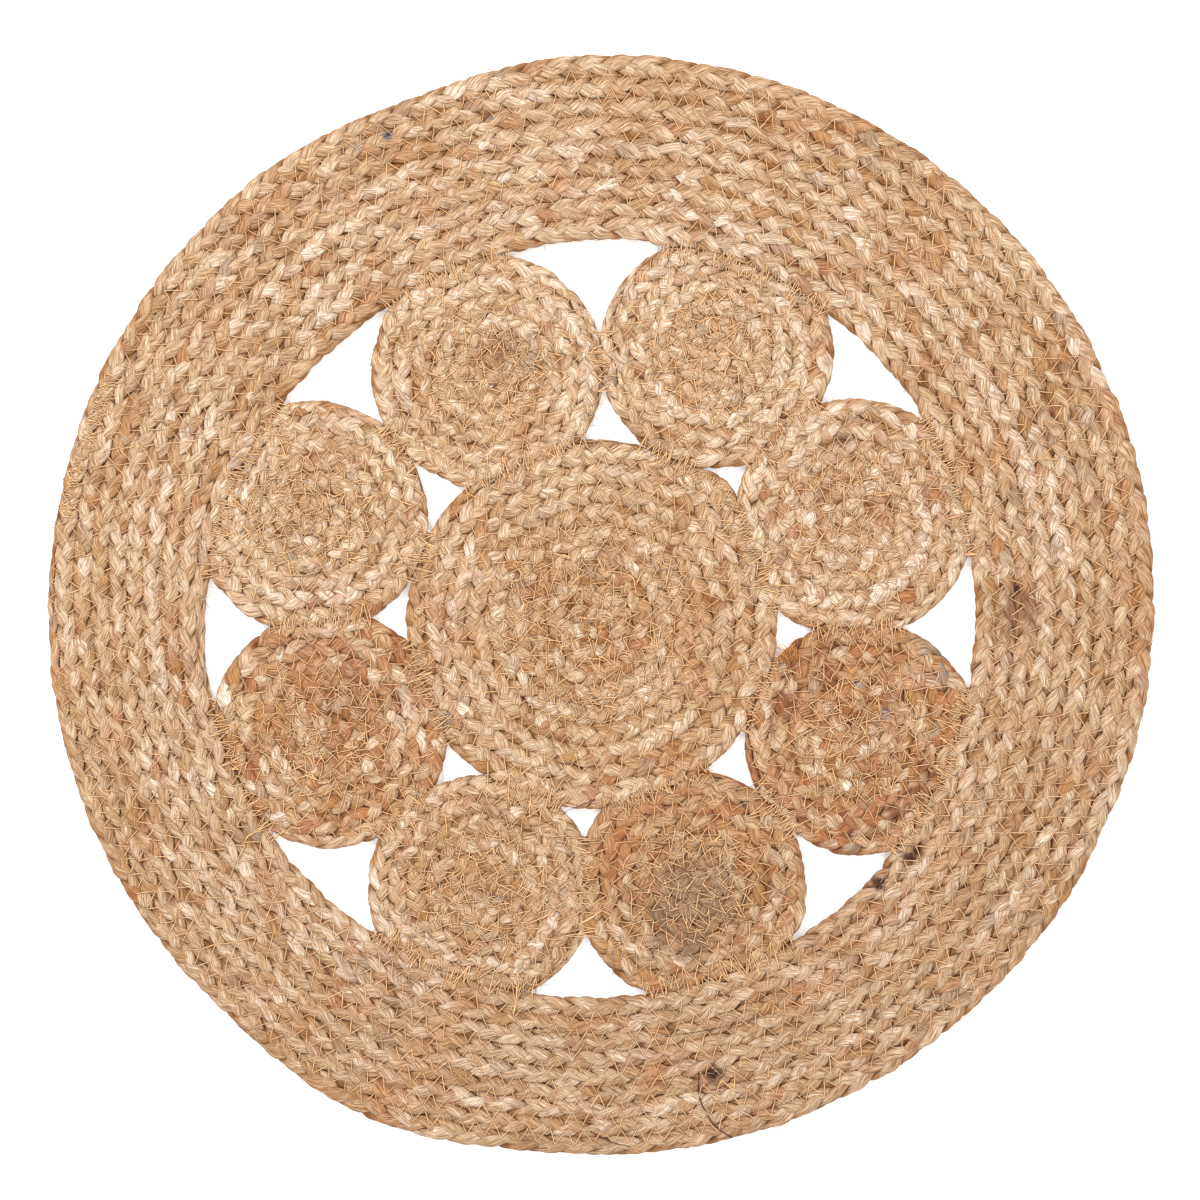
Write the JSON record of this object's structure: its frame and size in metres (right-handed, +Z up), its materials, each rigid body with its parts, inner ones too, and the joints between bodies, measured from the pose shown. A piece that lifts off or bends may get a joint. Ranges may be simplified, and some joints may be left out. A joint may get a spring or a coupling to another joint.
{
  "type": "area rug",
  "caption": "Round openwork rug of coiled jute braid: a wide border holding a ring of small medallions sewn round a larger one.",
  "frame": {"origin": "on the floor, under the middle of the rug's outline", "axes": "+Z up from the floor through the rug's face; +X and +Y in the floor plane, +Y towards the top of the pattern as it is usually seen"},
  "size_m": [0.8015, 0.7968, 0.009],
  "materials": {
    "jute_braid": "natural golden straw-coloured jute fibre, undyed, slightly glossy along the fibres, with darker knots",
    "sewing_thread": "thin golden-orange polished thread"
  },
  "bodies": {
    "root": {"border_braid": "jute_braid", "centre_medallion_braid": "jute_braid", "medallion_1_braid": "jute_braid", "medallion_2_braid": "jute_braid", "medallion_3_braid": "jute_braid", "medallion_4_braid": "jute_braid", "medallion_5_braid": "jute_braid", "medallion_6_braid": "jute_braid", "medallion_7_braid": "jute_braid", "medallion_8_braid": "jute_braid", "border_seam_thread": "sewing_thread", "centre_medallion_seam_thread": "sewing_thread", "medallion_1_seam_thread": "sewing_thread", "medallion_2_seam_thread": "sewing_thread", "medallion_3_seam_thread": "sewing_thread", "medallion_4_seam_thread": "sewing_thread", "medallion_5_seam_thread": "sewing_thread", "medallion_6_seam_thread": "sewing_thread", "medallion_7_seam_thread": "sewing_thread", "medallion_8_seam_thread": "sewing_thread", "joint_1_to_border": "sewing_thread", "joint_1_to_2": "sewing_thread", "joint_1_to_centre": "sewing_thread", "joint_2_to_border": "sewing_thread", "joint_2_to_3": "sewing_thread", "joint_2_to_centre": "sewing_thread", "joint_3_to_border": "sewing_thread", "joint_3_to_4": "sewing_thread", "joint_3_to_centre": "sewing_thread", "joint_4_to_border": "sewing_thread", "joint_4_to_5": "sewing_thread", "joint_4_to_centre": "sewing_thread", "joint_5_to_border": "sewing_thread", "joint_5_to_6": "sewing_thread", "joint_5_to_centre": "sewing_thread", "joint_6_to_border": "sewing_thread", "joint_6_to_7": "sewing_thread", "joint_6_to_centre": "sewing_thread", "joint_7_to_border": "sewing_thread", "joint_7_to_8": "sewing_thread", "joint_7_to_centre": "sewing_thread", "joint_8_to_border": "sewing_thread", "joint_8_to_1": "sewing_thread", "joint_8_to_centre": "sewing_thread"}
  },
  "joints": []
}
